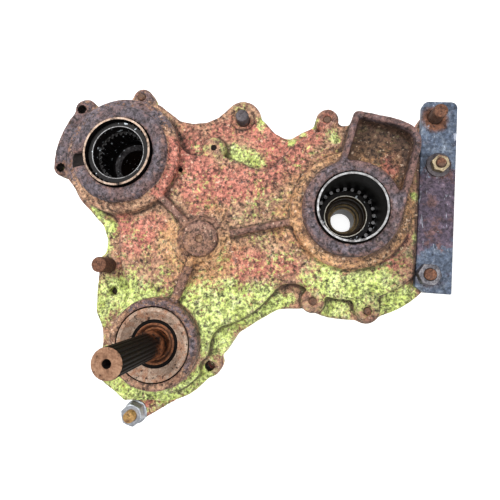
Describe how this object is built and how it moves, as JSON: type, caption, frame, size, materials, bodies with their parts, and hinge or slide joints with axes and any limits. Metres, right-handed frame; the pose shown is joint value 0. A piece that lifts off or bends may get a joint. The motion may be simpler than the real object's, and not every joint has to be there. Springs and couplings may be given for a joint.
{
  "type": "industrial gearbox",
  "caption": "Offset spur gear case with a cast cover, splined input hub, hollow through hub and a long splined output shaft.",
  "frame": {"origin": "on the idler axis, in the plane of the rear bearing bosses that the case rests on", "axes": "+Z out of the front cover along all shafts, +X from the idler towards the strap, +Y towards the input hub"},
  "size_m": [0.6004, 0.5073, 0.273],
  "materials": {
    "cast_paint": "cast iron with two worn coats of paint",
    "cast_back": "cast iron, painted and rusted",
    "gasket": "compressed fibre",
    "rusty_steel": "rusted steel",
    "race_steel": "ground bearing steel",
    "dark_steel": "oil-blackened steel",
    "shaft_steel": "rusted splined steel",
    "strap_steel": "weathered flat bar",
    "zinc_yellow": "yellow zinc plate",
    "zinc_grey": "galvanised",
    "bronze": "bearing bronze",
    "seal_rubber": "oil-soaked rubber and felt",
    "retainer_rust": "rusted pressed steel"
  },
  "bodies": {
    "casing": {"front_cover": "cast_paint", "rear_housing": "cast_back", "case_gasket": "gasket", "cover_bolts": "rusty_steel", "dowel_pins": "race_steel", "input_needle_ring": "race_steel", "input_rear_outer_race": "race_steel", "input_rear_cap": "cast_back", "input_cap_screws": "zinc_grey", "through_sleeve": "race_steel", "through_front_outer_race": "race_steel", "through_rear_outer_race": "race_steel", "through_rear_seal": "seal_rubber", "output_seal_retainer": "retainer_rust", "output_oil_seal": "seal_rubber", "output_front_outer_race": "race_steel", "output_rear_outer_race": "race_steel", "idler_pin": "race_steel", "idler_thrust_washers": "bronze", "side_strap": "strap_steel", "strap_studs": "rusty_steel", "strap_nuts": "zinc_yellow", "strap_washers": "rusty_steel", "left_stud": "rusty_steel", "bottom_stud": "zinc_yellow", "bottom_nut": "zinc_grey", "bottom_washer": "zinc_grey", "drain_plug": "rusty_steel", "filler_plug": "rusty_steel"},
    "input_shaft": {"input_hub": "dark_steel", "input_gear": "dark_steel", "input_needles": "race_steel", "input_rear_inner_race": "race_steel", "input_rear_rollers": "race_steel"},
    "idler": {"idler_gear": "dark_steel", "idler_rollers": "race_steel"},
    "through_shaft": {"through_hub": "dark_steel", "through_gear": "dark_steel", "through_front_inner_race": "race_steel", "through_front_rollers": "race_steel", "through_rear_inner_race": "race_steel", "through_rear_rollers": "race_steel"},
    "output": {"output_shaft": "shaft_steel", "output_gear": "dark_steel", "output_collar": "rusty_steel", "output_front_inner_race": "race_steel", "output_front_rollers": "race_steel", "output_rear_inner_race": "race_steel", "output_rear_rollers": "race_steel"}
  },
  "joints": [
    {"name": "idler_spin", "type": "hinge", "parent": "casing", "child": "idler", "pos_m": [0, 0, 0.04], "axis": [0, 0, 1], "continuous": true},
    {"name": "input_spin", "type": "hinge", "parent": "casing", "child": "input_shaft", "pos_m": [-0.11961, 0.1243, 0.04], "axis": [0, 0, 1], "continuous": true},
    {"name": "through_spin", "type": "hinge", "parent": "casing", "child": "through_shaft", "pos_m": [0.20648, 0.03827, 0.04], "axis": [0, 0, 1], "continuous": true},
    {"name": "output_spin", "type": "hinge", "parent": "casing", "child": "output", "pos_m": [-0.06154, -0.14498, 0.04], "axis": [0, 0, 1], "continuous": true}
  ],
  "couplings": [
    {"joint": "input_spin", "follows": "idler_spin", "ratio": -1.6538},
    {"joint": "through_spin", "follows": "idler_spin", "ratio": -1.0488},
    {"joint": "output_spin", "follows": "idler_spin", "ratio": -2.15}
  ]
}
